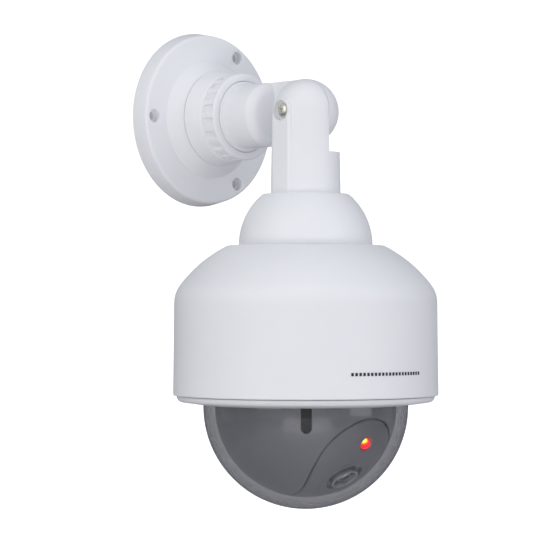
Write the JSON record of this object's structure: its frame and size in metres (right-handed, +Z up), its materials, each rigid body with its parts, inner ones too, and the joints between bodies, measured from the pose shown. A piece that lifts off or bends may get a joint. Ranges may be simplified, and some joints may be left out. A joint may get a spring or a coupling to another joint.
{
  "type": "dome security camera",
  "caption": "Dome security camera on a wall arm: round wall plate, tilting knuckle, drum housing and smoked dome over a lens and indicator light.",
  "frame": {"origin": "centre of the wall plate's flat back face, which rests on the wall", "axes": "+Y into the wall, -Y out along the arm, +Z up, +X to the right as seen from in front"},
  "size_m": [0.1296, 0.1434, 0.238],
  "materials": {
    "white_abs": "satin moulded white ABS",
    "smoked_dome": "clear smoked acrylic, polished",
    "ball_grey": "satin dark grey moulding",
    "dark_plastic": "black moulding",
    "zinc_steel": "zinc-plated steel",
    "red_led": "clear red epoxy, lit",
    "lens_glass": "polished glass",
    "seal_rubber": "soft rubber",
    "washer_nylon": "natural nylon",
    "board_green": "solder resist over glass epoxy",
    "cell_jacket": "printed film over a steel can",
    "wire_red": "PVC sleeve",
    "wire_black": "PVC sleeve"
  },
  "bodies": {
    "wall_mount": {"wall_plate": "white_abs"},
    "collar": {"lock_collar": "white_abs"},
    "arm": {"swivel_arm": "white_abs", "pivot_screw": "zinc_steel", "pivot_nut": "zinc_steel", "friction_washer": "washer_nylon"},
    "head": {"neck": "white_abs", "neck_screw_1": "zinc_steel", "neck_screw_2": "zinc_steel", "neck_screw_3": "zinc_steel", "housing": "white_abs", "chassis_plate": "ball_grey", "chassis_screw_1": "zinc_steel", "chassis_screw_2": "zinc_steel", "chassis_screw_3": "zinc_steel", "liner": "ball_grey", "liner_screw_1": "zinc_steel", "liner_screw_2": "zinc_steel", "slot_baffle_1": "dark_plastic", "slot_baffle_2": "dark_plastic", "slot_baffle_3": "dark_plastic", "slot_baffle_4": "dark_plastic", "camera_panel": "ball_grey", "led": "red_led", "lens_barrel": "dark_plastic", "lens_glass": "lens_glass", "circuit_board": "board_green", "flasher_chip": "dark_plastic", "capacitor": "dark_plastic", "battery_box": "dark_plastic", "battery_1": "cell_jacket", "battery_2": "cell_jacket", "spring_contact_1": "zinc_steel", "spring_contact_2": "zinc_steel", "contact_plate_1": "zinc_steel", "contact_plate_2": "zinc_steel", "wire_red": "wire_red", "wire_black": "wire_black", "switch_body": "zinc_steel"},
    "dome_ring": {"retaining_ring": "white_abs", "seal_ring": "seal_rubber", "dome_cover": "smoked_dome"},
    "battery_lid": {"battery_door": "dark_plastic"},
    "power_switch": {"switch_slider": "dark_plastic"}
  },
  "joints": [
    {"name": "collar_turn", "type": "hinge", "parent": "wall_mount", "child": "collar", "pos_m": [0, -0.026, 0], "axis": [0, -1, 0], "range_deg": [0, 60]},
    {"name": "arm_swivel", "type": "hinge", "parent": "wall_mount", "child": "arm", "pos_m": [0, -0.0786, 0], "axis": [0, -1, 0], "continuous": true},
    {"name": "head_tilt", "type": "hinge", "parent": "arm", "child": "head", "pos_m": [0, -0.0786, 0], "axis": [-1, 0, 0], "range_deg": [-5, 90]},
    {"name": "ring_twist", "type": "hinge", "parent": "head", "child": "dome_ring", "pos_m": [0, -0.0786, -0.1383], "axis": [0, 0, 1], "range_deg": [0, 30]},
    {"name": "door_slide", "type": "slide", "parent": "head", "child": "battery_lid", "axis": [1, 0, 0], "range_m": [0, 0.018]},
    {"name": "switch_slide", "type": "slide", "parent": "head", "child": "power_switch", "axis": [1, 0, 0], "range_m": [0, 0.003]}
  ]
}
